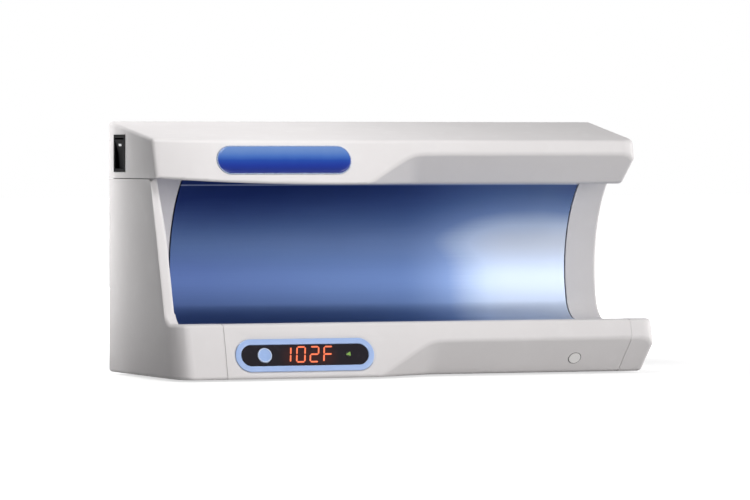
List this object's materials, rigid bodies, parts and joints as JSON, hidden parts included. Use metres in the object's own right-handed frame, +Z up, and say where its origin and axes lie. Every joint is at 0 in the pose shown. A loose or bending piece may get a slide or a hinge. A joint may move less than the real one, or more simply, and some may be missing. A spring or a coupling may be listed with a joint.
{
  "type": "fluid warming cabinet",
  "caption": "Open-fronted bench cabinet that warms a bag of fluid in a curved, heated metal bay, with a temperature display, push button and side power switch.",
  "frame": {"origin": "centre of the overall box, on the bench under the feet", "axes": "+X along the cabinet to the right seen from the front, +Y to the back, +Z up; the open front faces -Y"},
  "size_m": [0.4, 0.1521, 0.1935],
  "materials": {
    "casing": "fine satin moulding",
    "ceiling": "plain moulding",
    "liner": "blue anodised, finely brushed",
    "frame_steel": "plain sheet",
    "cover_paint": "fine powder coat",
    "screw_steel": "zinc plated",
    "foot_rubber": "matt",
    "heater_mat": "silicone sheet",
    "insulation": "felted fibre",
    "component_black": "moulded",
    "component_tan": "moulded",
    "circuit_board": "solder mask",
    "terminal_green": "moulded",
    "transformer_tape": "tape",
    "relay_blue": "moulded",
    "switch_black": "fine spark texture",
    "display_ring": "polished",
    "display_window": "dark smoked, polished",
    "button_blue": "satin",
    "light_green": "clear tinted lens",
    "badge_blue": "domed resin",
    "lead_red": "smooth sleeve",
    "lead_white": "smooth sleeve"
  },
  "bodies": {
    "cabinet": {"hood_shell": "casing", "left_end_housing": "casing", "right_end_cap": "casing", "shelf_front_cover": "casing", "service_plug": "casing", "bay_ceiling": "ceiling", "heat_liner": "liner", "left_frame_plate": "frame_steel", "right_frame_plate": "frame_steel", "rear_cover": "cover_paint", "base_plate": "cover_paint", "rear_screw_1": "screw_steel", "rear_screw_2": "screw_steel", "rear_screw_3": "screw_steel", "rear_screw_4": "screw_steel", "rear_screw_5": "screw_steel", "power_board_screw_1": "screw_steel", "power_board_screw_2": "screw_steel", "power_board_screw_3": "screw_steel", "power_board_screw_4": "screw_steel", "control_board_screw_1": "screw_steel", "control_board_screw_2": "screw_steel", "foot_1": "foot_rubber", "foot_2": "foot_rubber", "foot_3": "foot_rubber", "foot_4": "foot_rubber", "wall_heater_mat": "heater_mat", "floor_heater_mat": "heater_mat", "wall_insulation": "insulation", "floor_insulation": "insulation", "thermal_cutout": "component_black", "button_switch": "component_black", "capacitor": "component_black", "digit_display": "component_black", "temperature_sensor": "component_tan", "output_connector": "component_tan", "power_board": "circuit_board", "control_board": "circuit_board", "terminal_block": "terminal_green", "transformer": "transformer_tape", "relay": "relay_blue", "power_inlet": "switch_black", "rocker_frame": "switch_black", "display_ring": "display_ring", "display_window": "display_window", "status_led": "light_green", "badge": "badge_blue", "mains_lead": "lead_red", "supply_lead": "lead_red", "heater_lead": "lead_white", "display_cable": "lead_white"},
    "button": {"button_cap": "button_blue"},
    "rocker": {"rocker_paddle": "switch_black"}
  },
  "joints": [
    {"name": "button_press", "type": "slide", "parent": "cabinet", "child": "button", "axis": [0, 0.9613, -0.2756], "range_m": [0, 0.0008], "stiffness_N_per_m": 2500},
    {"name": "rocker_tilt", "type": "hinge", "parent": "cabinet", "child": "rocker", "pos_m": [-0.19494, 0.05278, 0.169], "axis": [-0.0454, 0.999, 0], "range_deg": [0, 16]}
  ]
}
